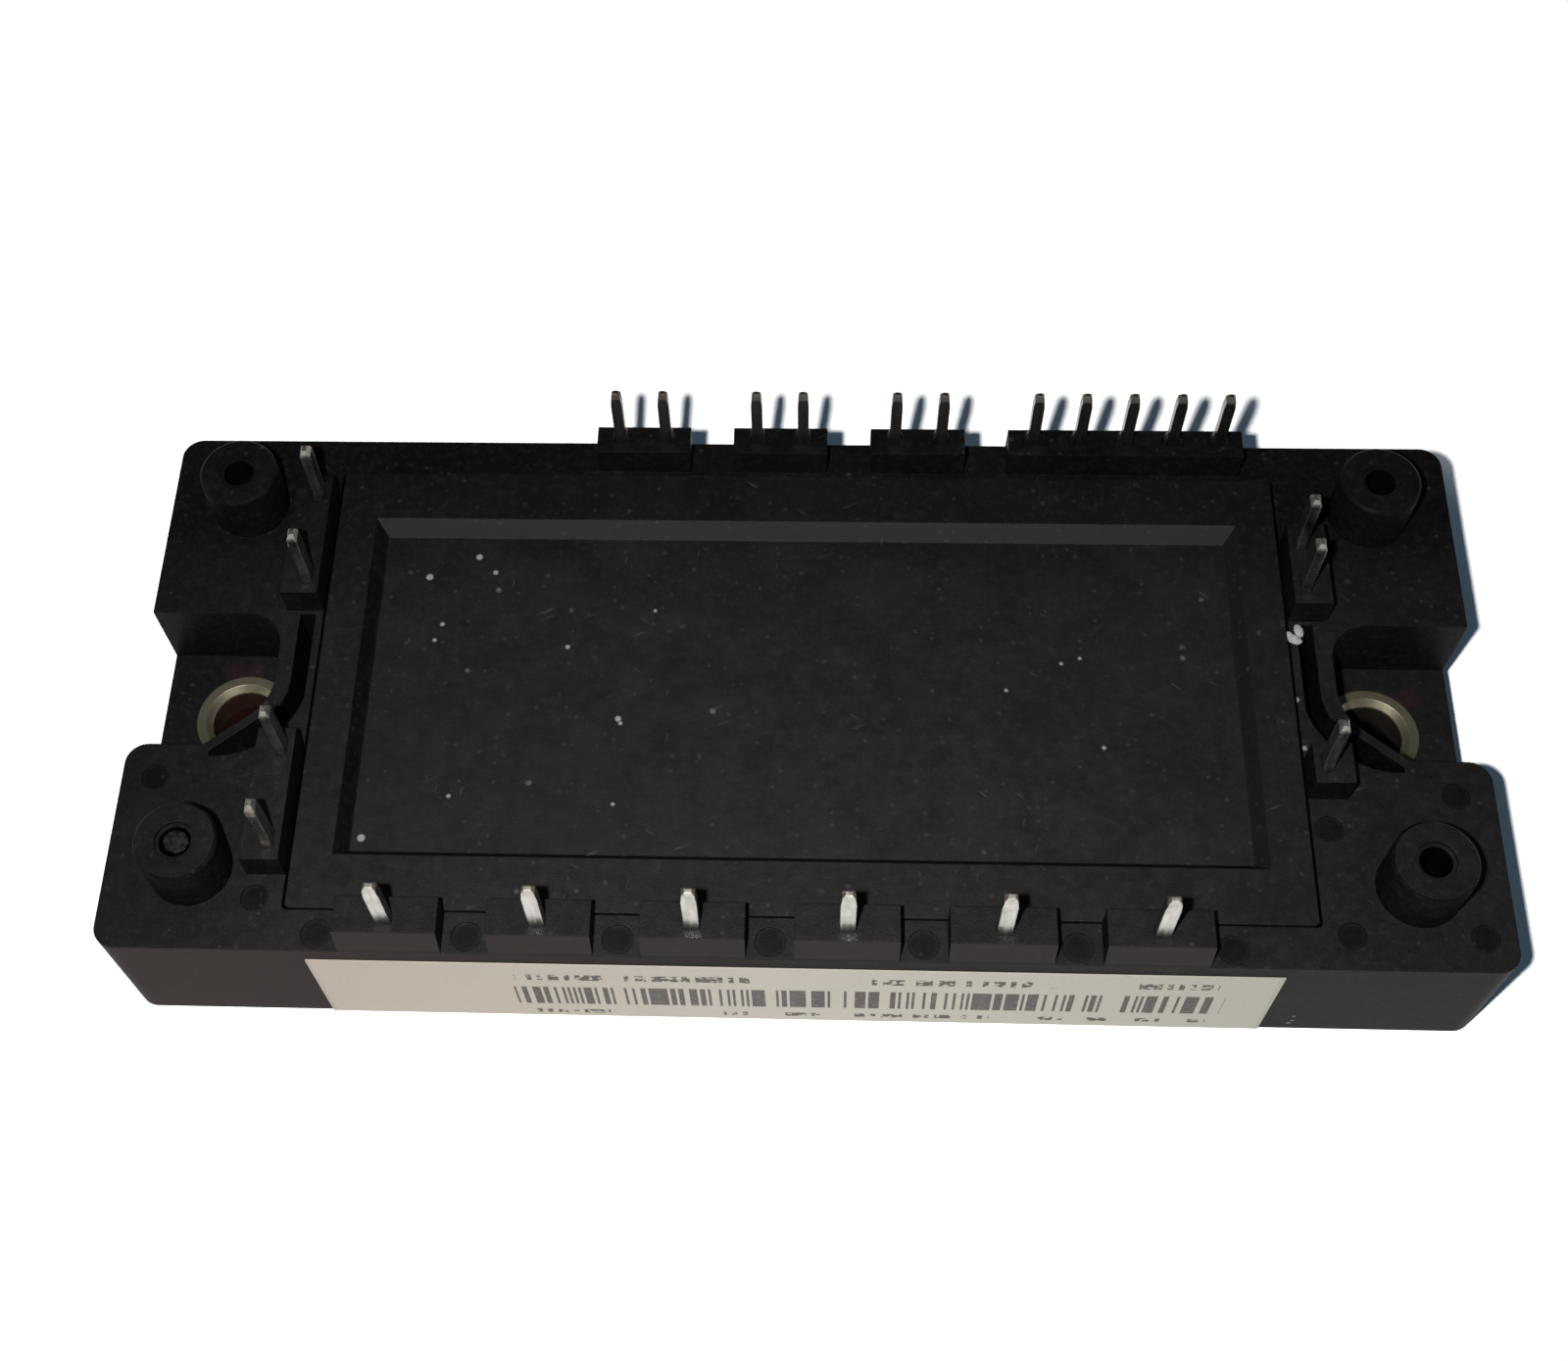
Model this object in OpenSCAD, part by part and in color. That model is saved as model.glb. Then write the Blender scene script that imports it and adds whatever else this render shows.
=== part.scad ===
// Power module with pin terminals: rectifier bridge, brake chopper and three-phase inverter.
// Millimetres, +Z up. The origin is the centre of the underside of the base plate.
// +X runs along the case and -Y is the side that carries the label.

/* [Case] */
// Length of the moulded case
case_l = 106.5; // [105:0.1:109]
// Width of the moulded case
case_w = 46.2; // [45.6:0.1:47]
// Height of the main top surface
deck_z = 13.4; // [13:0.1:14]
// Height of the two screw flanges
flange_z = 6; // [5.5:0.1:6.2]
// Height of the raised blocks that hold the pins
block_z = 16.4; // [15.4:0.1:16.8]
// Radius of the upright corners
corner_r = 1.7; // [1:0.1:2]

/* [Screw notches] */
// Distance between the two mounting screws
screw_pitch = 93; // [92.5:0.1:93.5]
// Hole for a mounting screw
screw_hole_d = 5.5; // [5:0.1:5.8]
// Outer diameter of the metal bushing round a mounting screw
bushing_d = 8; // [7.4:0.1:8.2]
// Width of the notch over a mounting screw
notch_w = 12; // [11.6:0.1:12.4]
// Inner radius of the rib that rounds the inner end of the notch
rib_r = 4.2; // [4.1:0.1:4.4]
// Thickness of that rib
rib_t = 1.3; // [1.1:0.1:1.5]
// Outer radius of the trench round that rib
trench_r = 7; // [6.8:0.1:7.2]

/* [Board supports] */
// Distance along X between the board supports
support_pitch_x = 93; // [92.5:0.1:93.5]
// Distance along Y between the board supports
support_pitch_y = 33; // [31:0.1:33.4]
// Diameter of a board support
support_d = 6.4; // [6:0.1:6.6]
// Height at which the circuit board rests
support_z = 18.6; // [17:0.1:19]
// Hole for a self-tapping screw in a board support
support_hole_d = 2.4; // [2:0.1:2.6]

/* [Pins] */
// Grid that the pins stand on
pitch = 3.81; // [3.81:0.01:3.82]
// Height of the pin tips
pin_z = 22.9; // [21.5:0.1:23.5]
// Wide side of a pin
pin_w = 1.15; // [1:0.05:1.2]
// Thin side of a pin
pin_t = 0.8; // [0.6:0.05:0.9]

/* [Lid] */
// Length of the lid
lid_l = 77.7; // [77:0.1:77.9]
// Width of the lid
lid_w = 39.4; // [39:0.1:39.5]
// Depth of the shallow pan in the lid
pan_depth = 1.6; // [1:0.1:1.8]

/* [Base plate and substrate] */
// Thickness of the copper base plate
plate_t = 3; // [2.5:0.1:3]
// Thickness of the ceramic sheet
ceramic_t = 0.64; // [0.38:0.01:0.64]
// Thickness of the copper on each side of the ceramic
copper_t = 0.3; // [0.2:0.01:0.3]

/* [Hidden] */
$fn = 48;
eps = 0.01;

// Rows of pins along the front and back, and columns at the two ends
row_y = 21.6;
column_x = 10.5 * pitch;
front_steps = [-8, -5, -2, 1, 4, 7];
back_steps = [-4, -3, -1, 0, 2, 3, 5, 6, 7, 8, 9];
left_y = [15.9, 8, -7.62, -15.3];
right_y = [12, 8, -7.62];
back_groups = [[-4, -3], [-1, 0], [2, 3], [5, 9]];

// Each group of pins stands in a raised block that reaches this far past its outer pins.
block_margin = 2;
front_block_w = 7.8;
side_block_margin = 1.7;
side_block_out = 2.1;
front_block_depth = case_w / 2 - 19.8;
back_block_depth = 2.9;
block_draft = 0.4;

// Case walls and the stepped cavity
skirt_z = 0.2;
plate_l = case_l - 2.4;
plate_w = case_w - 2.4;
plate_r = 1;
plate_gap = 0.1;
lower_cavity = [73, 32];
upper_cavity = [76.4, 38];
ledge_z = 6.5;
lid_seat_z = 11.2;
lid_rim_z = deck_z + 0.15;
lid_side_gap = 0.25;
lid_end_gap = 0.1;
recess_l = lid_l + 2 * lid_side_gap;
pan_l = 71.4;
pan_w = 30.5;
pan_slope = 0.9;
pan_floor_t = 1.3;

// Where the notch and the trench start, out from the middle of the case
hub_x = screw_pitch / 2;
notch_x = hub_x - rib_r;
trench_x = recess_l / 2 + 0.6;
trench_z = 7.6;
notch_fillet = 3;
wing_r = 1.7;
rib_angle = 231;
rib_end = (rib_r + notch_w / 2 * sin(rib_angle)) / cos(rib_angle);
rib_end_t = 0.75;
trench_end = 0.2;
mark_d = 2.3;
mark_depth = 0.15;
support_chamfer = 0.2;
lead_in = 0.3;

// Pins
pin_root_w = 1.6;
pin_foot = 1;
pin_taper = 1.3;
back_pin_w = 0.9;
tail_t = 0.6;

// Layers inside, counted up from the base plate
solder_t = 0.15;
substrate_l = 70;
substrate_w = 29;
lower_copper_z = plate_t + solder_t;
ceramic_z = lower_copper_z + copper_t;
tracks_z = ceramic_z + ceramic_t;
chip_z = tracks_z + copper_t;
chip_t = 0.25;
gel_z = 9.6;
track_r = 0.6;
wire_d = 0.3;

// Label on the front wall
label_t = 0.12;
label_l = 73.6;
label_h = 11.4;
label_x = -0.4;
label_z = 0.2;

// Tracks on the substrate: centre x, centre y, length, width
inverter_x = [-4, 8, 20];
rectifier_x = [-31, -24, -17];
high_rail = [8, 8.2, 41, 10.6];
low_rail = [8, -13, 41, 2];
brake_track = [31.6, -5.4, 4.6, 17.2];
bridge_plus = [-24, 9.6, 20.4, 7.8];
bridge_minus = [-24, -10.4, 20.4, 7.2];
igbt_size = 5.2;
diode_size = 3.6;
rectifier_size = 4.2;

// ---- Plain shapes ----

module rounded_rect(length, width, r) {
    square([length - 2 * r, width], center = true);
    square([length, width - 2 * r], center = true);
    for (x = [-1, 1], y = [-1, 1])
        translate([x * (length / 2 - r), y * (width / 2 - r)]) circle(r);
}

module slab(length, width, z_low, z_high, r = 0.5) {
    translate([0, 0, z_low]) linear_extrude(z_high - z_low) rounded_rect(length, width, r);
}

module both_ends() {
    children();
    mirror([1, 0, 0]) children();
}

// ---- Case ----

// Plan of one notch: rounded inner corners, and a rounded corner on the front wing
module notch_plan() {
    reach = case_l / 2 + 1;
    half = notch_w / 2;
    difference() {
        translate([notch_x, 0]) square([reach - notch_x, half]);
        translate([notch_x, half - notch_fillet]) difference() {
            square(notch_fillet);
            translate([notch_fillet, 0]) circle(notch_fillet);
        }
    }
    translate([hub_x, 0]) {
        circle(rib_r);
        polygon([
            [0, 0], [rib_r * cos(rib_angle), rib_r * sin(rib_angle)], [rib_end, -half],
            [reach - hub_x, -half], [reach - hub_x, 0]
        ]);
    }
    translate([case_l / 2 - wing_r, -half - wing_r]) difference() {
        square(2 * wing_r);
        circle(wing_r);
    }
}

// Plan of the trench behind the notch rib, which thins out towards its front end
module trench_plan() {
    outer = rib_r + rib_t;
    far = 2 * trench_r;
    translate([hub_x, 0]) difference() {
        intersection() {
            union() {
                circle(trench_r);
                translate([-trench_r, 0]) square([trench_r, notch_w / 2]);
            }
            translate([trench_x - hub_x, -trench_r]) square([hub_x + trench_end - trench_x, far]);
        }
        translate([-outer, 0]) square([2 * outer, far]);
        intersection() {
            rotate(rib_angle) translate([-far, -far]) square([far + rib_r + rib_end_t, 2 * far]);
            union() {
                circle(outer);
                translate([-rib_r / 2, -far]) square([far, far]);
            }
        }
    }
}

module side_block(side, first, last) {
    low = last - side_block_margin;
    length = first - last + 2 * side_block_margin;
    inner = recess_l / 2;
    outer = column_x + side_block_out;
    translate([side > 0 ? inner : -outer, low, flange_z]) cube([outer - inner, length, block_z - flange_z]);
}

module side_blocks() {
    side_block(-1, left_y[0], left_y[1]);
    side_block(-1, left_y[2], left_y[3]);
    side_block(1, right_y[0], right_y[1]);
    side_block(1, right_y[2], right_y[2]);
}

// A pin block in profile, with a little draft on the face that looks outwards
module block_profile(depth) {
    low = deck_z - 1;
    polygon([[0, low], [0, deck_z], [block_draft, block_z], [depth, block_z], [depth, low]]);
}

module front_blocks() {
    for (step = front_steps)
        translate([step * pitch - front_block_w / 2, -case_w / 2, 0])
            rotate([90, 0, 90]) linear_extrude(front_block_w) block_profile(front_block_depth);
}

module back_blocks() {
    for (group = back_groups) {
        length = (group[1] - group[0]) * pitch + 2 * block_margin;
        translate([group[1] * pitch + block_margin, case_w / 2, 0])
            rotate([90, 0, -90]) linear_extrude(length) block_profile(back_block_depth);
    }
}

module at_supports() {
    for (x = [-1, 1], y = [-1, 1])
        translate([x * support_pitch_x / 2, y * support_pitch_y / 2, 0]) children();
}

module support() {
    shoulder = support_z - support_chamfer;
    translate([0, 0, deck_z - 1]) cylinder(h = shoulder - deck_z + 1, d = support_d);
    translate([0, 0, shoulder - eps])
        cylinder(h = support_chamfer + eps, d1 = support_d, d2 = support_d - 2 * support_chamfer);
}

// Round marks that the ejector pins of the mould leave
module ejector_marks() {
    wing = [[-50.6, -8.9], [-41.3, -18.9], [50.3, -8.9], [41.2, -20.4], [50.9, -20.4], [40.4, -11.8]];
    for (spot = wing)
        translate([spot[0], spot[1], deck_z - mark_depth]) cylinder(h = 1, d = 0.9 * mark_d);
    for (i = [0 : len(front_steps)])
        translate([(3 * i - 9.5) * pitch, -row_y - 0.1, deck_z - mark_depth]) cylinder(h = 1, d = mark_d);
}

module case_cavity() {
    slab(plate_l + 2 * plate_gap, plate_w + 2 * plate_gap, -1, plate_t, plate_r);
    slab(lower_cavity[0], lower_cavity[1], plate_t - 1, ledge_z + 1, 1);
    slab(upper_cavity[0], upper_cavity[1], ledge_z, lid_seat_z + 1, 1);
    slab(recess_l, lid_w + 2 * lid_end_gap, lid_seat_z, deck_z + 5, 0.4);
    seal_ring(plate_t + 0.5);
}

module case_body() {
    difference() {
        union() {
            slab(case_l, case_w, skirt_z, flange_z, corner_r);
            difference() {
                slab(case_l, case_w, flange_z - 1, deck_z, corner_r);
                both_ends() translate([0, 0, flange_z]) linear_extrude(deck_z) notch_plan();
                both_ends() translate([0, 0, trench_z]) linear_extrude(deck_z) trench_plan();
            }
            front_blocks();
            back_blocks();
            side_blocks();
            at_supports() support();
        }
        case_cavity();
        for (x = [-1, 1])
            translate([x * hub_x, 0, 0]) cylinder(h = flange_z + 1, d = bushing_d);
        at_supports() {
            translate([0, 0, flange_z]) cylinder(h = 20, d = support_hole_d);
            translate([0, 0, support_z - lead_in]) cylinder(h = 1, d = support_hole_d + 2 * lead_in);
        }
        ejector_marks();
        every_pin();
    }
}

module case() {
    color("#1d1d1e") case_body();
}

// Rectangular ring of sealant in a groove round the cavity
module seal_ring(top) {
    translate([0, 0, plate_t - eps]) linear_extrude(top - plate_t + eps) difference() {
        rounded_rect(lower_cavity[0] + 4, lower_cavity[1] + 4, 1.5);
        rounded_rect(lower_cavity[0] + 2, lower_cavity[1] + 2, 1);
    }
}

module adhesive_seal() {
    color("#9c9c98") intersection() {
        seal_ring(plate_t + 0.5);
        translate([0, 0, plate_t]) linear_extrude(5) square([200, 100], center = true);
    }
}

module lid() {
    pan_z = lid_rim_z - pan_depth;
    color("#212122") difference() {
        union() {
            slab(lid_l, lid_w, lid_seat_z, lid_rim_z, 0.4);
            slab(pan_l + 1, pan_w + 1, pan_z - pan_floor_t, lid_seat_z + eps, 1);
        }
        lid_pan(pan_z);
    }
}

// The pan has sloping sides, so it is one wedge along X crossed with one along Y.
module lid_pan(pan_z) {
    top = lid_rim_z + 1;
    spread = pan_slope * (top - pan_z) / pan_depth;
    intersection() {
        translate([0, pan_w, 0]) rotate([90, 0, 0]) linear_extrude(2 * pan_w)
            pan_profile(pan_l, pan_z, top, spread);
        translate([-pan_l, 0, 0]) rotate([90, 0, 90]) linear_extrude(2 * pan_l)
            pan_profile(pan_w, pan_z, top, spread);
    }
}

module pan_profile(length, pan_z, top, spread) {
    foot = length / 2 - pan_slope;
    polygon([[-foot, pan_z], [foot, pan_z], [foot + spread, top], [-foot - spread, top]]);
}

module label() {
    color("#efece0") translate([label_x - label_l / 2, -case_w / 2 - label_t, label_z])
        cube([label_l, label_t, label_h]);
}

module bushing(side) {
    color("#cbbf9a") translate([side * hub_x, 0, plate_t]) difference() {
        cylinder(h = flange_z + 0.05 - plate_t, d = bushing_d);
        translate([0, 0, -1]) cylinder(h = 10, d = screw_hole_d);
        translate([0, 0, flange_z + 0.05 - plate_t]) rotate_extrude()
            polygon([[0, -0.5], [screw_hole_d / 2 - 0.01, -0.5], [screw_hole_d / 2 + 0.5, 0.01], [0, 0.01]]);
    }
}

module base_plate() {
    color("#b6ada0") difference() {
        slab(plate_l, plate_w, 0, plate_t, plate_r);
        for (x = [-1, 1])
            translate([x * hub_x, 0, -1]) cylinder(h = plate_t + 2, d = screw_hole_d);
    }
}

// ---- Pins ----

// A pin that faces -Y: a flat strip, its tip worn round on all four sides, and a tail that turns inwards
module pin(wide, root_w, reach) {
    half = wide / 2;
    root = root_w / 2;
    color("#c9c6bd") {
        intersection() {
            translate([0, pin_t / 2, 0]) rotate([90, 0, 0]) linear_extrude(pin_t)
                polygon([
                    [-root, ledge_z], [root, ledge_z], [root, block_z], [half, block_z + pin_foot],
                    [half, pin_z - pin_taper], [half - 0.1, pin_z - 0.3], [half - 0.3, pin_z],
                    [0.3 - half, pin_z], [0.1 - half, pin_z - 0.3], [-half, pin_z - pin_taper],
                    [-half, block_z + pin_foot], [-root, block_z]
                ]);
            translate([-root - 1, 0, 0]) rotate([90, 0, 90]) linear_extrude(2 * root + 2)
                polygon([
                    [-pin_t, 0], [pin_t, 0], [pin_t, pin_z - 0.5], [pin_t / 2, pin_z - 0.5],
                    [pin_t / 2 - 0.22, pin_z], [0.22 - pin_t / 2, pin_z], [-pin_t / 2, pin_z - 0.5],
                    [-pin_t, pin_z - 0.5]
                ]);
        }
        translate([-root, 0, ledge_z]) cube([2 * root, reach, tail_t]);
    }
}

module pin_front(i) {
    translate([front_steps[i] * pitch, -row_y, 0])
        pin(pin_w, pin_w, row_y - lower_cavity[1] / 2 - 0.4);
}

module pin_back(i) {
    translate([back_steps[i] * pitch, row_y, 0]) rotate([0, 0, 180])
        pin(back_pin_w, pin_root_w, row_y - lower_cavity[1] / 2 - 0.4);
}

module pin_left(i) {
    translate([-column_x, left_y[i], 0]) rotate([0, 0, -90])
        pin(pin_w, pin_root_w, column_x - lower_cavity[0] / 2 - 0.4);
}

module pin_right(i) {
    translate([column_x, right_y[i], 0]) rotate([0, 0, 90])
        pin(pin_w, pin_root_w, column_x - lower_cavity[0] / 2 - 0.4);
}

module every_pin() {
    for (i = [0 : 5]) pin_front(i);
    for (i = [0 : 10]) pin_back(i);
    for (i = [0 : 3]) pin_left(i);
    for (i = [0 : 2]) pin_right(i);
}

// ---- Inside ----

module solder_layer() {
    color("#a9aaad") slab(substrate_l - 2, substrate_w - 2, plate_t, lower_copper_z);
}

module lower_copper() {
    color("#b87345") slab(substrate_l - 1.4, substrate_w - 1.4, lower_copper_z, ceramic_z);
}

module ceramic_substrate() {
    color("#f2f0ea") slab(substrate_l, substrate_w, ceramic_z, tracks_z);
}

module track(spec) {
    translate([spec[0], spec[1], tracks_z]) linear_extrude(copper_t)
        rounded_rect(spec[2], spec[3], track_r);
}

module copper_tracks() {
    color("#b87345") {
        track(high_rail);
        track(low_rail);
        track(brake_track);
        track(bridge_plus);
        track(bridge_minus);
        for (x = inverter_x) track([x, -4.6, 11, 12.6]);
        for (x = rectifier_x) track([x, -0.6, 6, 10.4]);
        track([31.6, 9, 4.6, 9]);
    }
}

module chip(x, y, size) {
    translate([x - size / 2, y - size / 2, chip_z]) cube([size, size, chip_t]);
}

module igbt_high(i) { color("#5b6068") chip(inverter_x[i] - 2.6, 6.6, igbt_size); }
module igbt_low(i) { color("#5b6068") chip(inverter_x[i] - 2.6, -6.8, igbt_size); }
module igbt_brake() { color("#5b6068") chip(31.6, -10, 4.2); }
module diode_high(i) { color("#777c84") chip(inverter_x[i] + 3.2, 6.6, diode_size); }
module diode_low(i) { color("#777c84") chip(inverter_x[i] + 3.2, -6.8, diode_size); }
module diode_brake() { color("#777c84") chip(31.6, 8, diode_size); }
module rectifier_top(i) { color("#777c84") chip(rectifier_x[i], 8.8, rectifier_size); }
module rectifier_bottom(i) { color("#777c84") chip(rectifier_x[i], -2.8, rectifier_size); }

module thermistor() {
    color("#c9b48c") translate([30.6, 11.4, chip_z]) cube([2, 1.2, 0.6]);
}

// One bonded wire: a half ring that stands on its two ends
module wire(x, y, span, low_z) {
    translate([x, y, low_z]) rotate([90, 0, 90])
        rotate_extrude(angle = 180, $fn = 24) translate([span / 2, 0]) circle(d = wire_d, $fn = 16);
}

module bond_wires() {
    top = chip_z + chip_t;
    color("#d8d8da") for (i = [0 : 2]) {
        for (k = [-1, 1]) {
            wire(inverter_x[i] - 2.6 + k, 2.6, 4.6, top);
            wire(inverter_x[i] - 2.6 + k, -10.8, 4.6, top);
            wire(inverter_x[i] + 3.2 + 0.8 * k, 2.6, 4.6, top);
            wire(inverter_x[i] + 3.2 + 0.8 * k, -10.8, 4.6, top);
            wire(rectifier_x[i] + k, 5.3, 4.6, top);
            wire(rectifier_x[i] + k, -6.4, 4.6, top);
        }
    }
}

module every_chip() {
    for (i = [0 : 2]) {
        igbt_high(i);
        igbt_low(i);
        diode_high(i);
        diode_low(i);
        rectifier_top(i);
        rectifier_bottom(i);
    }
    igbt_brake();
    diode_brake();
    thermistor();
}

module silicone_gel() {
    color("#dfe6ea") difference() {
        union() {
            slab(lower_cavity[0], lower_cavity[1], plate_t, ledge_z, 1);
            slab(upper_cavity[0], upper_cavity[1], ledge_z, gel_z, 1);
        }
        solder_layer();
        lower_copper();
        ceramic_substrate();
        copper_tracks();
        every_chip();
        bond_wires();
        every_pin();
    }
}

base_plate();
case();
lid();
label();
bushing(-1);  // bushing_left
bushing(1);  // bushing_right
adhesive_seal();
solder_layer();
lower_copper();
ceramic_substrate();
copper_tracks();
bond_wires();
silicone_gel();
igbt_brake();
diode_brake();
thermistor();
for (i = [0 : 2]) {
    igbt_high(i);
    igbt_low(i);
    diode_high(i);
    diode_low(i);
    rectifier_top(i);
    rectifier_bottom(i);
}
for (i = [0 : 5]) pin_front(i);
for (i = [0 : 10]) pin_back(i);
for (i = [0 : 3]) pin_left(i);
for (i = [0 : 2]) pin_right(i);
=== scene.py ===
import math

import bpy
from mathutils import Matrix, Vector


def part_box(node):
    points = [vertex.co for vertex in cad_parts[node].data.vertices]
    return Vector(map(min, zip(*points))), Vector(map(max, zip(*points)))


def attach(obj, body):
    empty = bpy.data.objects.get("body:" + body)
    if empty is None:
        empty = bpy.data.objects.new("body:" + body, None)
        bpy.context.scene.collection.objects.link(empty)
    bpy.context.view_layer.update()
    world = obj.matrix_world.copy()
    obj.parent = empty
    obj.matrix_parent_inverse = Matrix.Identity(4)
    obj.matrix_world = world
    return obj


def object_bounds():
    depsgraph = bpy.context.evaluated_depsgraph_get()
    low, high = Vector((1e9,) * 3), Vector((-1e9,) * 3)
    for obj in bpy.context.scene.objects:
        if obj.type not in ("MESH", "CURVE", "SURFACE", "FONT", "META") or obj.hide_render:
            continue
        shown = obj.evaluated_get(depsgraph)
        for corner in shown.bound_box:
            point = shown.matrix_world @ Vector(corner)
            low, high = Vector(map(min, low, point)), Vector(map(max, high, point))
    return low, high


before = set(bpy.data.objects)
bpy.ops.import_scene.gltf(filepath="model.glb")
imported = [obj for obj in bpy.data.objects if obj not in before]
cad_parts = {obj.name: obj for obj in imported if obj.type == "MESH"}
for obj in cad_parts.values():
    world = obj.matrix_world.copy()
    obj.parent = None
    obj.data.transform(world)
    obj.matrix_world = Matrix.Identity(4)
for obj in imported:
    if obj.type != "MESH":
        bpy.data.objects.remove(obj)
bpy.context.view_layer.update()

MM = 0.001


def box_mm(name):
    low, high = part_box(name)
    return Vector(low) / MM, Vector(high) / MM


# ---------------------------------------------------------------- material tools

MIX_FACTOR, MIX_FIRST, MIX_SECOND, MIX_RESULT = 0, 6, 7, 2


class Value:
    """One socket of a material. Arithmetic on it adds the Math nodes."""

    def __init__(self, finish, socket):
        self.finish = finish
        self.socket = socket

    def math(self, operation, *numbers):
        settings = {"operation": operation}
        return self.finish.node("ShaderNodeMath", settings, dict(enumerate(numbers)))

    def __add__(self, other):
        return self.math("ADD", self, other)

    def __rsub__(self, other):
        return self.math("SUBTRACT", other, self)

    def __mul__(self, other):
        return self.math("MULTIPLY", self, other)

    def __truediv__(self, other):
        return self.math("DIVIDE", self, other)

    def __gt__(self, other):
        return self.math("GREATER_THAN", self, other)

    def __lt__(self, other):
        return self.math("LESS_THAN", self, other)

    def either(self, other):
        return self.math("MAXIMUM", self, other)

    def unsigned(self):
        return self.math("ABSOLUTE", self)

    def floor(self):
        return self.math("FLOOR", self)


class Finish:
    """One material: its nodes are added round a Principled shader."""

    WOBBLE_SCALE = 1800
    WOBBLE = 0.25 * MM

    def __init__(self, name, **constants):
        self.material = bpy.data.materials.new(name)
        self.material.use_nodes = True
        self.tree = self.material.node_tree
        self.shader = self.tree.nodes["Principled BSDF"]
        self.surface = self.tree.nodes["Material Output"].inputs["Surface"]
        for socket, number in constants.items():
            self.shader.inputs[socket.replace("_", " ")].default_value = number
        self.place = self.node("ShaderNodeTexCoord", output="Object")
        self.facing = self.node("ShaderNodeTexCoord", output="Normal")
        wave = self.node("ShaderNodeTexNoise", None,
                         {"Vector": self.place, "Scale": self.WOBBLE_SCALE}, "Color")
        self.wobbly = self.node("ShaderNodeVectorMath", {"operation": "MULTIPLY_ADD"},
                                {0: wave, 1: (self.WOBBLE,) * 3, 2: self.place})

    def node(self, kind, settings=None, inputs=None, output=0):
        """Add a node, set it up, and give back one of its outputs."""
        made = self.tree.nodes.new(kind)
        for setting, choice in (settings or {}).items():
            setattr(made, setting, choice)
        for socket, given in (inputs or {}).items():
            if isinstance(given, Value):
                self.tree.links.new(given.socket, made.inputs[socket])
            elif isinstance(given, tuple) and made.inputs[socket].type == "RGBA":
                made.inputs[socket].default_value = (*given, 1)
            else:
                made.inputs[socket].default_value = given
        return Value(self, made.outputs[output])

    def feed(self, socket, value):
        self.tree.links.new(value.socket, self.shader.inputs[socket])

    def mix(self, factor, first, second):
        return self.node("ShaderNodeMix", {"data_type": "RGBA"},
                         {MIX_FACTOR: factor, MIX_FIRST: first, MIX_SECOND: second}, MIX_RESULT)

    def noise(self, scale, detail=2, stretch=None):
        where = self.place
        if stretch:
            where = self.node("ShaderNodeMapping", None, {"Vector": where, "Scale": stretch})
        return self.node("ShaderNodeTexNoise", None,
                         {"Vector": where, "Scale": scale, "Detail": detail})

    def ramp(self, value, low, high, to_low=0, to_high=1):
        """A soft step from to_low, where the value is low, to to_high, where it is high."""
        return self.node("ShaderNodeMapRange", {"interpolation_type": "SMOOTHSTEP"},
                         {"Value": value, "From Min": low, "From Max": high,
                          "To Min": to_low, "To Max": to_high})

    def axis(self, name, vector=None):
        return self.node("ShaderNodeSeparateXYZ", None, {0: vector or self.place}, name)

    def along(self, name, low_mm, high_mm, to_low=0, to_high=1):
        """A soft step in the place along one axis."""
        return self.ramp(self.axis(name), low_mm * MM, high_mm * MM, to_low, to_high)

    def turned(self, name, low, high):
        """A soft step in how far the surface faces along one axis."""
        return self.ramp(self.axis(name, self.facing), low, high)

    def within(self, where, centre_mm, radius_mm, soft_mm):
        """1 nearer to the centre than the radius, 0 beyond it, with a soft rim."""
        centre = tuple(number * MM for number in centre_mm)
        apart = self.node("ShaderNodeVectorMath", {"operation": "DISTANCE"},
                          {0: where, 1: centre}, "Value")
        return self.ramp(apart, (radius_mm + soft_mm) * MM, (radius_mm - soft_mm) * MM)

    def spot(self, centre_mm, radius_mm, soft_mm):
        return self.within(self.place, centre_mm, radius_mm, soft_mm)

    def columns(self, places_mm, radius_mm, soft_mm=0.05):
        """1 inside upright round columns, at any height."""
        inside = 0
        plan = self.node("ShaderNodeMapping", None, {"Vector": self.place, "Scale": (1, 1, 0)})
        for x, y in places_mm:
            inside = self.within(plan, (x, y, 0), radius_mm, soft_mm) + inside
        return inside

    def cells(self, where, scale):
        """Scattered cells: the distance to a cell's middle, and a colour drawn for the cell."""
        inputs = {"Vector": where, "Scale": scale}
        return (self.node("ShaderNodeTexVoronoi", None, inputs),
                self.node("ShaderNodeTexVoronoi", None, inputs, "Color"))

    def specks(self, scale, share, size):
        """Sparse soft dots: cells per metre, the share of cells with a dot, its size in cells."""
        apart, drawn = self.cells(self.wobbly, scale)
        strength = self.ramp(self.axis("Y", drawn), 0, 1, 0.25, 1)
        dot = self.ramp(apart, size * 1.5, size * 0.5)
        return dot * (self.axis("X", drawn) < share) * strength

    def scratches(self, scale, share, turn, slender=7):
        """Short faint scratches that all run one way, the turn in degrees from the X axis."""
        where = self.node("ShaderNodeMapping", None,
                          {"Vector": self.wobbly, "Rotation": (0, 0, math.radians(-turn))})
        where = self.node("ShaderNodeMapping", None, {"Vector": where, "Scale": (1, slender, 1)})
        apart, drawn = self.cells(where, scale)
        return self.ramp(apart, 0.3, 0.1) * (self.axis("X", drawn) < share) * self.axis("Y", drawn)

    def bore_colour_and_shade(self):
        """Copper darkened with painted shade inside the screw holes: reddish in the left one, dark
        in the right one, darkest towards the front.
        """
        reddish, dark, darkest = (0.062, 0.009, 0.004), (0.013, 0.005, 0.007), (0.016, 0.006, 0.006)
        side = self.mix(self.along("X", -20, 20), reddish, dark)
        return self.mix(self.along("Y", 1.5, -1.5) * 0.75, side, darkest)

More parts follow.
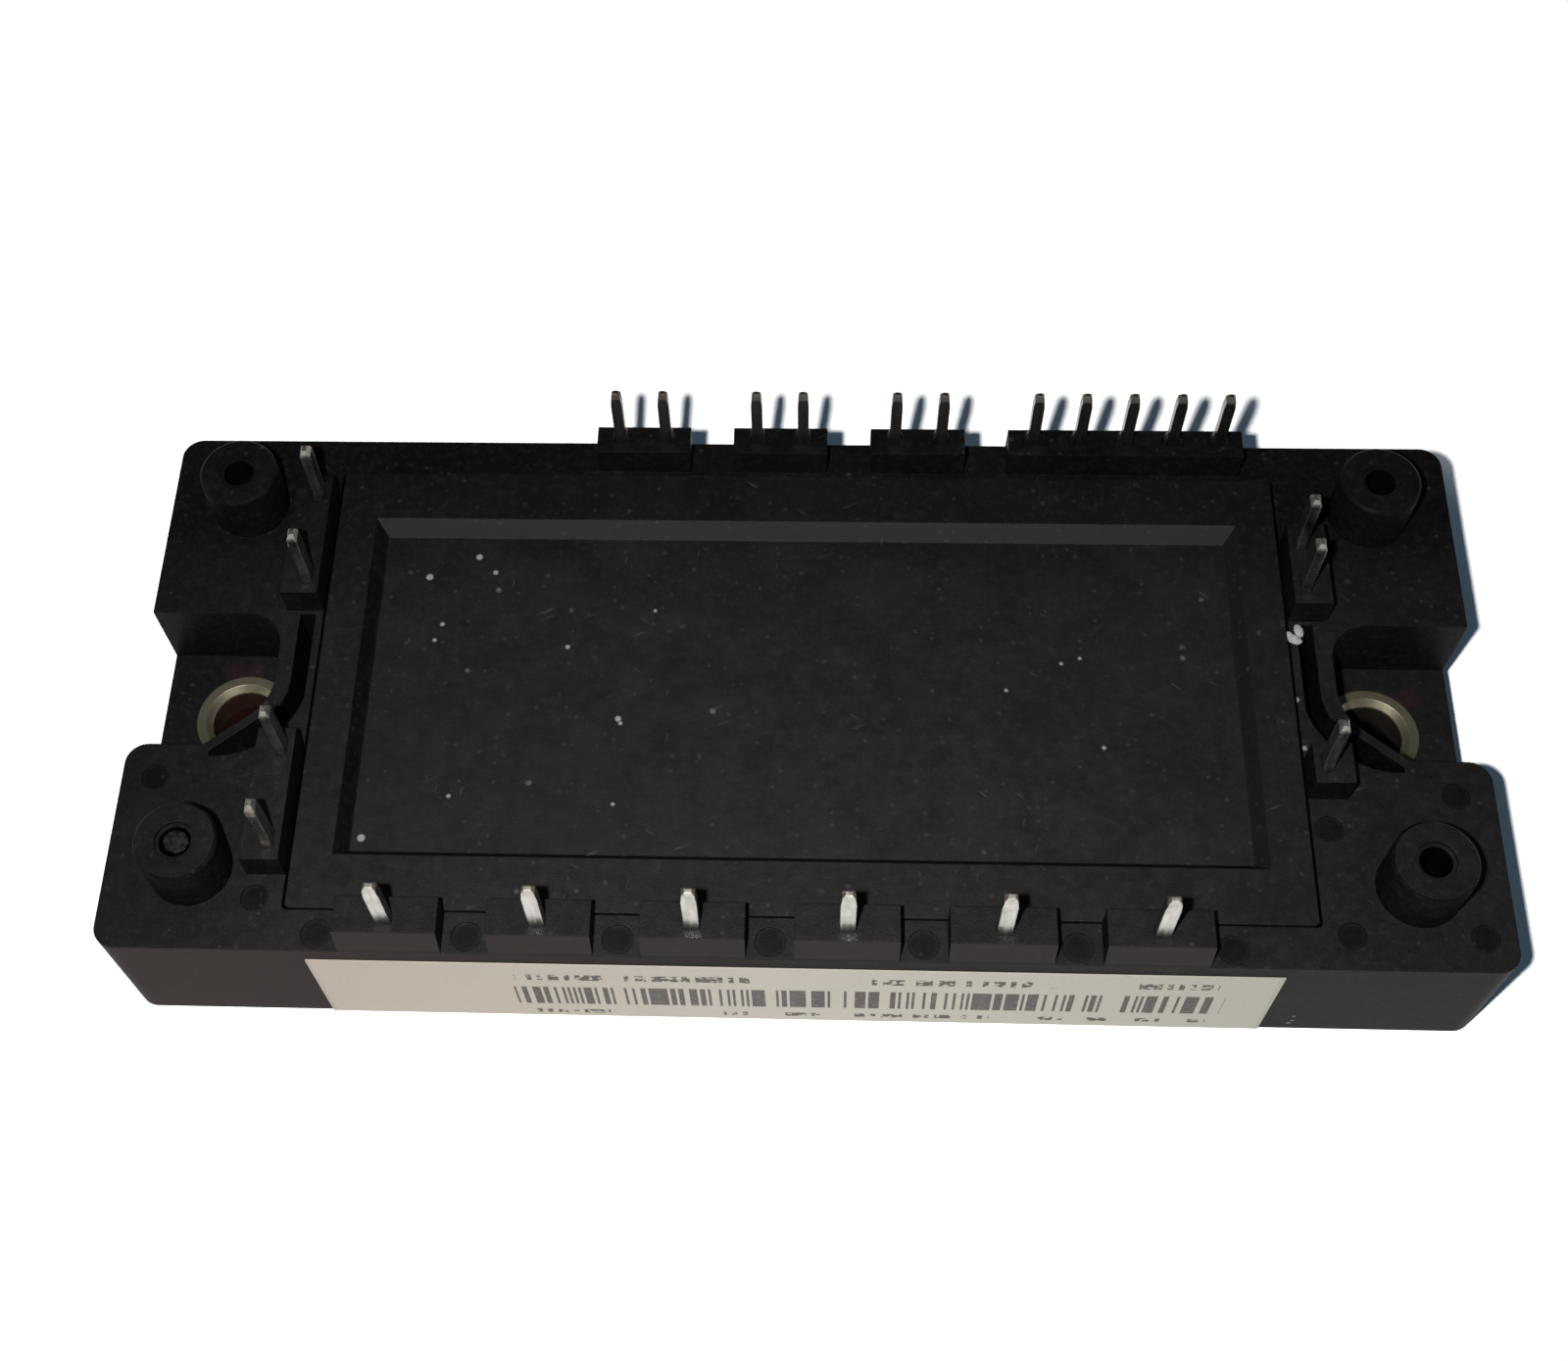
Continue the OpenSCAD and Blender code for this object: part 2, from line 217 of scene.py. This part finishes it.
    def rounded(self, radius_mm):
        return self.node("ShaderNodeBevel", {"samples": 4}, {"Radius": radius_mm * MM})

    def edges(self, rounded):
        """1 on edges, 0 on flats."""
        flat = self.node("ShaderNodeNewGeometry", output="Normal")
        alike = self.node("ShaderNodeVectorMath", {"operation": "DOT_PRODUCT"},
                          {0: rounded, 1: flat}, "Value")
        return self.ramp(alike, 0.995, 0.85)

    def bump(self, height, strength, distance_mm, normal=None):
        inputs = {"Height": height, "Strength": strength, "Distance": distance_mm * MM}
        if normal:
            inputs["Normal"] = normal
        self.feed("Normal", self.node("ShaderNodeBump", None, inputs))

    def shown(self):
        return Value(self, self.surface.links[0].from_socket)

    def blend(self, factor, first, second):
        """Show the first shader where the factor is 0, and the second where it is 1."""
        both = self.node("ShaderNodeMixShader", None, {0: factor, 1: first, 2: second})
        self.tree.links.new(both.socket, self.surface)

    def walls(self, flat, roughness, level):
        """Give the upright faces a duller shader of their own, with the same colour and grain."""
        dull = self.tree.nodes.new("ShaderNodeBsdfPrincipled")
        dull.inputs["Roughness"].default_value = roughness
        dull.inputs["Specular IOR Level"].default_value = level
        for socket in ("Base Color", "Normal"):
            source = self.shader.inputs[socket].links[0].from_socket
            self.tree.links.new(source, dull.inputs[socket])
        self.blend(flat, Value(self, dull.outputs[0]), self.shown())

    def shade_holes(self, mask):
        """Paint shade into deep holes: blend in a black shader with no sheen."""
        black = self.node("ShaderNodeBsdfDiffuse", None, {"Color": (0.0015, 0.0014, 0.0014)})
        self.blend(mask, self.shown(), black)


# ---------------------------------------------------------------- finishes


# Places on the module, in millimetres from the middle of its underside.
PIN_PITCH = 3.81
FLANGE_Z = 6.0
PAN_Z = 11.95
DECK_Z = 13.4
SCREW_X = 46.5
SUPPORT_X, SUPPORT_Y = 46.5, 16.5
SUPPORT_HOLES = ((-SUPPORT_X, -SUPPORT_Y), (SUPPORT_X, -SUPPORT_Y),
                 (-SUPPORT_X, SUPPORT_Y), (SUPPORT_X, SUPPORT_Y))
SUPPORT_HOLE_RADIUS = 1.22
SUPPORT_RING_Z = 18.35
WING_MARKS = ((-50.6, -8.9), (-41.3, -18.9), (50.3, -8.9),
              (41.2, -20.4), (50.9, -20.4), (40.4, -11.8))
WELL_Y = -21.7
FRONT_MARKS = tuple(((3 * well - 9.5) * PIN_PITCH, WELL_Y) for well in range(7))
# The larger light specks in the pan: x, y and radius.
LID_SPECKS = ((-34.0, -13.2, 0.3), (-31.0, 10.5, 0.28), (-27.0, 12.5, 0.26), (-25.5, 11.0, 0.2),
              (-29.5, 6.0, 0.18), (-30.0, 4.5, 0.16), (-19.0, 4.0, 0.18), (-14.5, -2.5, 0.24),
              (-14.3, -2.9, 0.16), (-27.5, -9.5, 0.16), (-14.5, -10.0, 0.14), (-12.0, 7.5, 0.14),
              (21.0, 3.0, 0.14), (22.5, 3.5, 0.14), (16.5, 0.5, 0.14), (24.0, -4.5, 0.16))


def moulded_plastic(name, dark, light, dust):
    """Black glass-filled plastic: dull sheen on the flats, coarser walls, fine grain and dust.

    The finish comes with what its caller goes on with: its colour so far, the dots that go on top,
    the grain, the rounded normal and the mask of the flats.
    """
    look = Finish(name, Specular_IOR_Level=0.5)
    rounded = look.rounded(0.12)
    upright = look.axis("Z", look.facing)
    # Painted shade: the flats lose their sheen towards the back and at the left end, which darkens
    # them.
    behind = look.along("Y", 4, 19, 0, 0.95)
    aside = look.along("X", -38, -50, 0, 0.35)
    edges = look.edges(rounded)
    flat = look.ramp(upright, 0.8, 0.97) * (1 - behind.either(aside)) * (1 - edges * 0.8)
    broad = look.noise(120, 3)
    grain = look.noise(5200, 2)
    fine = look.noise(9000, 1)
    worn = edges * look.ramp(look.noise(900, 2), 0.4, 0.7)
    colour = look.mix(look.ramp(broad, 0.3, 0.7), dark, light)
    colour = look.mix(look.ramp(fine, 0.5, 0.8) * 0.3, colour, (0.020, 0.0195, 0.018))
    mottled = look.ramp(look.noise(1500, 4), 0.45, 0.7)
    colour = look.mix(mottled * 0.28, colour, (0.020, 0.0195, 0.0185))
    colour = look.mix(worn * 0.12, colour, (0.05, 0.047, 0.043))
    smears = look.ramp(look.noise(420, 4), 0.60, 0.78) * 0.05
    colour = look.mix(smears, colour, (0.08, 0.076, 0.07))
    gathered = look.ramp(look.noise(110, 3), 0.42, 0.62, 0.12, 1)
    dots = look.specks(1500, 0.20, 0.24) * 0.06
    for scale, share, size, strength in ((900, 0.14, 0.17, 0.22), (520, 0.10, 0.11, 0.5),
                                         (290, 0.06, 0.07, 0.9)):
        dots = dots.either(look.specks(scale, share, size) * strength * dust * gathered)
    dots = dots.either(look.specks(110, 0.05, 0.03) * dust)
    for scale, turn in ((300, 22), (420, -35), (520, 80)):
        dots = dots.either(look.scratches(scale, 0.05, turn) * 0.22 * dust * gathered)
    dots = dots * look.ramp(upright, 0.2, 0.6, 0.35, 1)
    look.feed("Roughness", look.ramp(look.noise(800, 2), 0.3, 0.7, 0.46, 0.54) + edges * 0.4)
    return look, colour, dots, grain, rounded, flat


def case_plastic():
    """The case: dark ejector marks, reddish stains by the screws, painted light on the front faces.
    """
    look, colour, dots, grain, rounded, flat = moulded_plastic(
        "black_case_plastic", (0.0034, 0.0033, 0.0032), (0.0062, 0.0059, 0.0055), dust=0.3)
    marks = look.columns(WING_MARKS, 1.0, 0.25) + look.columns(FRONT_MARKS, 1.05, 0.35)
    colour = look.mix(marks * 0.9, colour, (0.0012, 0.0012, 0.0012))
    stain = look.spot((50.0, 3.3, FLANGE_Z), 0.8, 0.8)
    for x in (-48.1, -47.2, -46.3):
        stain = stain.either(look.spot((x, 4.5, FLANGE_Z), 0.6, 0.6))
    colour = look.mix(stain * 0.35, colour, (0.05, 0.012, 0.016))
    # Painted warm light: the front faces get a lighter, warmer colour, strongest towards the left
    # end.
    outward = look.turned("Y", -0.4, -0.9) * look.along("Y", -20, -21.5)
    painted_warm_light = outward * look.along("X", 0, -50, 0.15, 1)
    colour = look.mix(painted_warm_light * 0.75, colour, (0.030, 0.014, 0.0115))
    # Painted light: the front faces of the blocks above the deck are made lighter.
    lit_block_fronts = outward * look.along("Z", 13.3, 13.8)
    colour = look.mix(lit_block_fronts * 0.7, colour, (0.040, 0.032, 0.029))
    for x, y, radius in ((39.05, -0.75, 0.22), (39.25, -5.0, 0.18)):
        dots = dots.either(look.spot((x, y, DECK_Z), radius, 0.1))
    front_y = box_mm("case")[0].y
    for x, z, radius in ((38.6, 1.4, 0.18), (38.8, 2.0, 0.14), (38.7, 3.0, 0.12)):
        dots = dots.either(look.spot((x, front_y, z), radius, 0.08) * 0.6)
    colour = look.mix(dots, colour, (0.30, 0.29, 0.27))
    look.feed("Base Color", colour)
    look.bump(grain, 0.5, 0.03, rounded)
    front_blocks = look.along("Y", -17, -18) * look.along("Z", 13.6, 13.9)
    look.walls(flat * (1 - marks * 0.4) * (1 - front_blocks * 0.15), 0.5, 0.055)
    # Painted shade: the support holes are black below their ring.
    bored = look.columns(SUPPORT_HOLES, SUPPORT_HOLE_RADIUS)
    look.shade_holes(bored * (look.axis("Z") < SUPPORT_RING_Z * MM) * 0.85)
    return look.material


def lid_plastic():
    """The lid: haze on the pan's floor, painted light on its front left and on the slopes round it,
    light specks.
    """
    look, colour, dots, grain, rounded, flat = moulded_plastic(
        "black_lid_plastic", (0.0040, 0.0039, 0.0037), (0.0070, 0.0067, 0.0063), dust=0.6)
    for x, y, radius in LID_SPECKS:
        dots = dots.either(look.spot((x, y, PAN_Z), radius, 0.08))
    inside = look.along("Z", 12.3, 12.0)
    haze = inside * look.ramp(look.noise(260, 4), 0.35, 0.7, 0.015, 0.055)
    colour = look.mix(haze, colour, (0.10, 0.097, 0.09))
    # Painted warm light: the pan's floor is lighter and warmer towards the front left.
    painted_light_on_pan = inside * look.along("X", 6, -26) * look.along("Y", 8, -6)
    colour = look.mix(painted_light_on_pan * 0.5, colour, (0.0090, 0.0078, 0.0052))
    # Painted light: the slopes facing the front and facing the left are made lighter.
    lit_slope = look.turned("Y", -0.5, -0.8) * look.turned("Z", 0.2, 0.4)
    colour = look.mix(lit_slope * 0.75, colour, (0.040, 0.039, 0.038))
    lit_slope = look.turned("X", -0.5, -0.8) * look.turned("Z", 0.2, 0.4)
    colour = look.mix(lit_slope * 0.5, colour, (0.020, 0.0195, 0.019))
    colour = look.mix(dots, colour, (0.32, 0.31, 0.29))
    look.feed("Base Color", colour)
    look.bump(grain, 0.45, 0.025, rounded)
    look.walls(flat, 0.55, 0.15)
    return look.material


def label_paper():
    """Matt cream paper with generic printed bars and dashes, no lettering."""
    look = Finish("cream_label_paper", Specular_IOR_Level=0.3)
    low, high = box_mm("label")
    fibre = look.noise(3800, 4)
    broad = look.noise(60, 2)
    along = look.axis("X")
    # Painted warm light: the paper is warmer towards the left, and greyer and darker towards the
    # right.
    paper = look.mix(look.ramp(along, -36 * MM, 5 * MM), (0.583, 0.493, 0.405), (0.61, 0.55, 0.471))
    paper = look.mix(look.ramp(along, 5 * MM, 36 * MM), paper, (0.539, 0.517, 0.425))
    paper = look.mix(look.ramp(broad, 0.35, 0.7) * 0.25, paper, (0.60, 0.56, 0.50))
    paper = look.mix(look.ramp(fibre, 0.4, 0.75) * 0.2, paper, (0.45, 0.41, 0.35))
    # The print stands a little askew on the paper.
    tilted = look.node("ShaderNodeMapping", None,
                       {"Vector": look.place, "Rotation": (0, math.radians(0.6), 0)})
    x = look.axis("X", tilted)
    z = look.axis("Z", tilted)

    def between(value, first_mm, last_mm):
        return (value > first_mm * MM) * (value < last_mm * MM)

    def strokes(step_mm, shift, blank_share):
        """Upright strokes and gaps of one width, drawn at random."""
        stroke = (x / (step_mm * MM) + shift).floor()
        drawn = look.node("ShaderNodeTexWhiteNoise", {"noise_dimensions": "1D"}, {"W": stroke})
        return drawn > blank_share

    bars = strokes(0.21, 7, 0.42) * between(x, -21.8, 32.8) * between(z, 3.2, 7.0)
    words = between(x, -21.6, -3.4) + between(x, 5.8, 18) + between(x, 26, 32)
    lines = between(z, 8.5, 9.7) * words
    lines = lines + between(z, 1.1, 1.9) * between(x, -20.6, 32) * strokes(1.9, 3, 0.5)
    dashes = strokes(0.42, 31, 0.3) * lines * look.ramp(look.noise(2100, 1), 0.40, 0.47)
    ink = bars.either(dashes) * look.ramp(look.noise(2200, 3), 0.2, 0.5, 0.7, 0.92)
    colour = look.mix(ink, paper, (0.075, 0.065, 0.06))
    scuff = look.specks(260, 0.14, 0.09) * 0.4
    colour = look.mix(scuff, colour, (0.30, 0.26, 0.22))
    rim = (x < (low.x + 0.35) * MM).either(x > (high.x - 0.3) * MM)
    colour = look.mix(rim * 0.25, colour, (0.34, 0.30, 0.25))
    look.feed("Base Color", colour)
    look.feed("Roughness", look.ramp(broad, 0.3, 0.7, 0.55, 0.7))
    look.bump(fibre, 0.25, 0.02)
    return look.material


def pin_metal():
    """Tinned copper strip: bright rolled faces, coppery sheared sides, a dull foot, and painted
    shade on the feet and on the pins behind the front row.
    """
    look = Finish("tinned_copper_strip", Metallic=1.0)
    sheared = look.ramp(look.axis("X", look.facing).unsigned(), 0.4, 0.8)
    streaks = look.noise(2600, 3, (1, 1, 0.12))
    tin = look.mix(look.ramp(streaks, 0.35, 0.7), (0.56, 0.53, 0.48), (0.76, 0.73, 0.67))
    end_pin = look.ramp(look.axis("X").unsigned(), 37 * MM, 38.5 * MM)
    colour = look.mix(sheared * (1 - end_pin * 0.8) * 0.7, tin, (0.30, 0.20, 0.12))
    foot = look.along("Z", 18.1, 16.6)
    tip = look.along("Z", 22.1, 22.5)
    # Painted shade: the pins behind the front row are darker, the back row and its tips darkest,
    # and every foot is darker where it meets its block.
    painted_shade_rows = look.along("Y", 17, 19).either(look.along("Y", -19, -17) * 0.35)
    colour = look.mix(painted_shade_rows * 0.75, colour, (0.13, 0.122, 0.105))
    colour = look.mix(foot * 0.8, colour, (0.09, 0.08, 0.065))
    colour = look.mix(tip * painted_shade_rows * 0.85, colour, (0.10, 0.09, 0.075))
    bare_copper = look.along("X", -38, -39) * look.ramp(look.noise(1300, 2), 0.55, 0.65)
    colour = look.mix(bare_copper * 0.4, colour, (0.42, 0.22, 0.14))
    tarnish = look.ramp(look.noise(900, 3), 0.5, 0.72)
    colour = look.mix(tarnish * 0.35, colour, (0.30, 0.25, 0.19))
    look.feed("Base Color", colour)
    look.feed("Roughness", look.ramp(streaks, 0.3, 0.7, 0.2, 0.32) + foot * 0.1 + tip * 0.25)
    look.bump(streaks, 0.3, 0.02, look.rounded(0.15))
    return look.material


def bushing_metal():
    """Pale brass-coloured metal, turned, a little stained, with painted shade towards the front and
    inside the bore.
    """
    look = Finish("turned_bushing_metal")
    stain = look.noise(700, 4)
    colour = look.mix(look.ramp(stain, 0.35, 0.65), (0.46, 0.42, 0.31), (0.28, 0.25, 0.17))
    # Painted shade: darker and more olive towards the front.
    colour = look.mix(look.along("Y", 2.5, -2.5) * 0.55, colour, (0.17, 0.17, 0.10))
    # Inside the bore: the dark hole colour, with painted shade.
    inside = look.along("Z", 5.75, 5.2)
    colour = look.mix(inside * 0.92, colour, look.bore_colour_and_shade())
    look.feed("Metallic", 0.85 - inside * 0.7)
    look.feed("Base Color", colour)
    look.feed("Roughness", look.ramp(stain, 0.3, 0.7, 0.32, 0.5) + inside * 0.3)
    look.bump(look.noise(4000, 2), 0.2, 0.02, look.rounded(0.1))
    look.shade_holes(inside * 0.55)
    return look.material


CLOUD_SCALE = 900


def plain_metal(name, colour, darker, roughness):
    look = Finish(name, Metallic=1.0)
    cloud = look.noise(CLOUD_SCALE, 4)
    look.feed("Base Color", look.mix(look.ramp(cloud, 0.35, 0.7), colour, darker))
    look.feed("Roughness", look.ramp(cloud, 0.3, 0.7, roughness, roughness + 0.15))
    look.bump(look.noise(CLOUD_SCALE * 5, 2), 0.2, 0.01)
    return look.material


def base_plate_metal():
    """Nickel-plated copper plate. Bare copper shows inside the screw holes, darkened with painted
    shade.
    """
    look = Finish("nickel_plated_copper")
    cloud = look.noise(500, 4)
    nickel = look.mix(look.ramp(cloud, 0.35, 0.7), (0.60, 0.57, 0.52), (0.46, 0.43, 0.38))
    bore = look.spot((-SCREW_X, 0, 1.5), 3.6, 0.2).either(look.spot((SCREW_X, 0, 1.5), 3.6, 0.2))
    colour = look.mix(bore, nickel, look.bore_colour_and_shade())
    look.feed("Metallic", 1 - bore * 0.85)
    look.feed("Base Color", colour)
    look.feed("Roughness", look.ramp(cloud, 0.3, 0.7, 0.28, 0.42) + bore * 0.35)
    look.bump(look.noise(3000, 2), 0.2, 0.01)
    # Painted shade in the screw holes.
    look.shade_holes(bore * 0.55)
    return look.material


def dull_solid(name, colour, darker, roughness):
    look = Finish(name)
    cloud = look.noise(CLOUD_SCALE, 3)
    look.feed("Base Color", look.mix(look.ramp(cloud, 0.35, 0.7), colour, darker))
    look.feed("Roughness", look.ramp(cloud, 0.3, 0.7, roughness, roughness + 0.15))
    look.bump(look.noise(CLOUD_SCALE * 4, 2), 0.25, 0.02)
    return look.material


def gel():
    look = Finish("clear_silicone_gel", Transmission_Weight=0.9, IOR=1.41)
    cloud = look.noise(300, 2)
    look.feed("Base Color", look.mix(cloud, (0.9, 0.9, 0.86), (0.84, 0.84, 0.8)))
    look.feed("Roughness", look.ramp(cloud, 0.3, 0.7, 0.05, 0.12))
    return look.material


# The finish for each material name of the CAD pieces.
FINISHES = {
    "black_plastic": case_plastic(),
    "lid_plastic": lid_plastic(),
    "label_paper": label_paper(),
    "bushing_brass": bushing_metal(),
    "nickel_copper": base_plate_metal(),
    "tinned_copper": pin_metal(),
    "chip_metal": plain_metal("silvered_chip", (0.62, 0.62, 0.64), (0.5, 0.5, 0.52), 0.3),
    "copper": plain_metal("bonded_copper", (0.72, 0.36, 0.22), (0.6, 0.28, 0.16), 0.35),
    "ceramic": dull_solid("white_ceramic", (0.78, 0.77, 0.73), (0.7, 0.69, 0.66), 0.5),
    "solder": plain_metal("soft_solder", (0.52, 0.52, 0.5), (0.42, 0.42, 0.4), 0.42),
    "aluminium_wire": plain_metal("aluminium_bond_wire", (0.78, 0.78, 0.78),
                                  (0.66, 0.66, 0.66), 0.3),
    "ceramic_tan": dull_solid("tan_ceramic", (0.4, 0.3, 0.2), (0.32, 0.24, 0.16), 0.55),
    "sealant": dull_solid("grey_sealant", (0.28, 0.27, 0.25), (0.22, 0.21, 0.2), 0.5),
    "clear_gel": gel(),
}

for name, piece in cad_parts.items():
    for held in piece.material_slots:
        wanted = held.material.name.split(".")[0] if held.material else ""
        if wanted in FINISHES:
            held.material = FINISHES[wanted]
        else:
            print("no finish for", name, wanted)

# ---------------------------------------------------------------- residue and swarf


def residue_look(name, light, dark, sheen):
    """A crumbly, matt surface."""
    look = Finish(name, Specular_IOR_Level=sheen)
    grain = look.noise(2400, 3)
    look.feed("Base Color", look.mix(look.ramp(grain, 0.3, 0.7), light, dark))
    look.feed("Roughness", look.ramp(grain, 0.3, 0.7, 0.7, 0.85))
    look.bump(grain, 0.6, 0.08)
    return look.material


def residue_blob(name, centre_mm, size_mm, turn, look):
    """A flattened, uneven lump that rides on the module."""
    size = tuple(number * MM for number in size_mm)
    centre = tuple(number * MM for number in centre_mm)
    bpy.ops.object.select_all(action="DESELECT")
    bpy.ops.mesh.primitive_ico_sphere_add(subdivisions=4, radius=1, location=(0, 0, 0))
    blob = bpy.context.object
    blob.name = name
    bpy.ops.object.mode_set(mode="EDIT")
    bpy.ops.mesh.select_all(action="SELECT")
    bpy.ops.transform.vertex_random(offset=0.12, uniform=0.4, normal=0.8, seed=len(name))
    bpy.ops.mesh.vertices_smooth(factor=0.5, repeat=2)
    bpy.ops.transform.resize(value=size, center_override=(0, 0, 0))
    bpy.ops.transform.rotate(value=math.radians(turn), orient_axis="Z", center_override=(0, 0, 0))
    bpy.ops.transform.translate(value=centre)
    bpy.ops.object.mode_set(mode="OBJECT")
    bpy.ops.object.shade_smooth()
    blob.data.materials.append(look)
    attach(blob, "root")


CHALK = residue_look("chalky_residue", (0.50, 0.49, 0.47), (0.34, 0.33, 0.32), 0.5)
SWARF = residue_look("grey_swarf", (0.028, 0.027, 0.026), (0.005, 0.005, 0.005), 0.1)
CRUMB_Z = DECK_Z + 0.02
SWARF_PLACE = (0.05 - SUPPORT_X, 0.05 - SUPPORT_Y, 18.2)
residue_blob("residue_on_deck_a", (39.45, 4.65, CRUMB_Z), (0.62, 0.42, 0.22), 25, CHALK)
residue_blob("residue_on_deck_b", (39.85, 5.45, CRUMB_Z), (0.36, 0.62, 0.20), -12, CHALK)
residue_blob("residue_on_deck_c", (39.05, 5.1, CRUMB_Z), (0.26, 0.3, 0.14), 0, CHALK)
residue_blob("swarf_in_support_hole", SWARF_PLACE, (1.0, 0.9, 0.22), 30, SWARF)

# ---------------------------------------------------------------- floor and world

FLOOR_SIZE = 4
FLOOR_GAP = 0.02 * MM

low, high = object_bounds()
bpy.ops.object.select_all(action="DESELECT")
bpy.ops.mesh.primitive_plane_add(size=FLOOR_SIZE, location=(0, 0, low[2] - FLOOR_GAP))
floor = bpy.context.object
floor.name = "floor"

# The floor is plain near the module, so that its shadow shows, and pure white farther out.
# Shiny surfaces see it white too, except beneath the module.
floor_look = Finish("white_floor", Roughness=0.9, Specular_IOR_Level=0.1)
to_camera = floor_look.node("ShaderNodeLightPath", output="Is Camera Ray")
mirrored = floor_look.node("ShaderNodeLightPath", output="Is Glossy Ray")
mirrored = mirrored.either(floor_look.node("ShaderNodeLightPath", output="Is Transmission Ray"))
floor_look.feed("Base Color", floor_look.mix(to_camera, (0.45, 0.45, 0.45), (0.90, 0.90, 0.90)))
oval = floor_look.node("ShaderNodeMapping", None,
                       {"Vector": floor_look.place, "Scale": (1, 1.7, 1)})
away = floor_look.node("ShaderNodeVectorMath", {"operation": "LENGTH"}, {0: oval}, "Value")
farther_out = floor_look.ramp(away, 72 * MM, 105 * MM)
across = floor_look.axis("X").unsigned()
along = floor_look.axis("Y").unsigned()
under = (across < high[0] - MM) * (along < high[1] - MM)
glow = (to_camera * farther_out).either(mirrored * (1 - under) * 0.95)
white = floor_look.node("ShaderNodeEmission", None, {"Color": (1.0, 1.0, 1.0), "Strength": 1.0})
floor_look.blend(glow, floor_look.shown(), white)
floor.data.materials.append(floor_look.material)

# A dim bluish room. Shiny surfaces see a dark room above a white horizon.
ROOM = 0.08
DARK = 0.03
BLUISH = (0.62, 1.0, 1.40, 1)
WHITE = (1, 1, 1, 1)
HORIZON_TILT = 0.2
HORIZON_TOP, HORIZON_FOOT = 0.20, 0.03
world = bpy.data.worlds.new("studio")
bpy.context.scene.world = world
world.use_nodes = True
tree = world.node_tree


def world_node(kind, operation=None, inputs=None):
    """Add a node to the world, with its inputs set or linked."""
    made = tree.nodes.new(kind)
    if operation:
        made.operation = operation
    for socket, given in (inputs or {}).items():
        if isinstance(given, bpy.types.NodeSocket):
            tree.links.new(given, made.inputs[socket])
        else:
            made.inputs[socket].default_value = given
    return made


path = world_node("ShaderNodeLightPath").outputs
heading = world_node("ShaderNodeTexCoord").outputs["Generated"]
split = world_node("ShaderNodeSeparateXYZ", inputs={0: heading}).outputs
height = world_node("ShaderNodeMath", "MULTIPLY_ADD",
                    {0: split["Y"], 1: HORIZON_TILT, 2: split["Z"]}).outputs[0]
horizon = world_node("ShaderNodeMapRange",
                     inputs={"Value": height, "From Min": HORIZON_TOP, "From Max": HORIZON_FOOT,
                             "To Min": DARK, "To Max": 1.0})
horizon.interpolation_type = "SMOOTHSTEP"
shiny = world_node("ShaderNodeMath", "MAXIMUM",
                   {0: path["Is Glossy Ray"], 1: path["Is Transmission Ray"]}).outputs[0]
level = world_node("ShaderNodeMix", inputs={0: shiny, 2: ROOM, 3: horizon.outputs[0]}).outputs[0]
level = world_node("ShaderNodeMath", "MAXIMUM", {0: level, 1: path["Is Camera Ray"]}).outputs[0]
tint = world_node("ShaderNodeMix")
tint.data_type = "RGBA"
plain = world_node("ShaderNodeMath", "MAXIMUM", {0: shiny, 1: path["Is Camera Ray"]}).outputs[0]
tree.links.new(plain, tint.inputs[MIX_FACTOR])
tint.inputs[MIX_FIRST].default_value = BLUISH
tint.inputs[MIX_SECOND].default_value = WHITE
tree.links.new(tint.outputs[MIX_RESULT], tree.nodes["Background"].inputs["Color"])
tree.links.new(level, tree.nodes["Background"].inputs["Strength"])

# ---------------------------------------------------------------- lamps


def lamp(name, place, power, colour, aim):
    """A small round lamp that points at its aim."""
    light = bpy.data.lights.new(name, "AREA")
    light.shape = "DISK"
    light.size = LAMP_SIZE
    light.energy = power
    light.color = colour
    holder = bpy.data.objects.new(name, light)
    bpy.context.scene.collection.objects.link(holder)
    holder.location = place
    holder.rotation_euler = (Vector(aim) - Vector(place)).to_track_quat("-Z", "Y").to_euler()
    return holder


# Both lamps stand beside the camera, on its left. The second one lights only the floor.
KEY = (-0.0135, -0.080, 0.166)
LAMP_SIZE = 0.006
lamp("near_lamp", KEY, 0.275, (1.0, 0.985, 0.96), aim=(0, 0, 0.008))
floor_lamp = lamp("floor_lamp", KEY, 0.48, (1.0, 1.0, 1.0), aim=(0.02, 0.02, 0))
floor_only = bpy.data.collections.new("lit_by_floor_lamp")
floor_only.objects.link(floor)
floor_lamp.light_linking.receiver_collection = floor_only

# ---------------------------------------------------------------- camera

view = bpy.data.cameras.new("camera")
camera = bpy.data.objects.new("camera", view)
bpy.context.scene.collection.objects.link(camera)
bpy.context.scene.camera = camera
EYE_MM = Vector((1.32, -77.43, 160.24))
RIGHT = Vector((0.99886, 0.03259, -0.03492))
DOWN = Vector((0.01140, -0.87263, -0.48825))
FORWARD = RIGHT.cross(DOWN)
view.sensor_fit = "HORIZONTAL"
view.sensor_width = 36
view.lens = 47.77425
view.shift_x = 0.040625
view.shift_y = -0.0300625
view.clip_start = MM
camera.matrix_world = Matrix((
    (RIGHT.x, -DOWN.x, -FORWARD.x, EYE_MM.x * MM),
    (RIGHT.y, -DOWN.y, -FORWARD.y, EYE_MM.y * MM),
    (RIGHT.z, -DOWN.z, -FORWARD.z, EYE_MM.z * MM),
    (0, 0, 0, 1),
))
bpy.context.scene.view_settings.view_transform = "Standard"
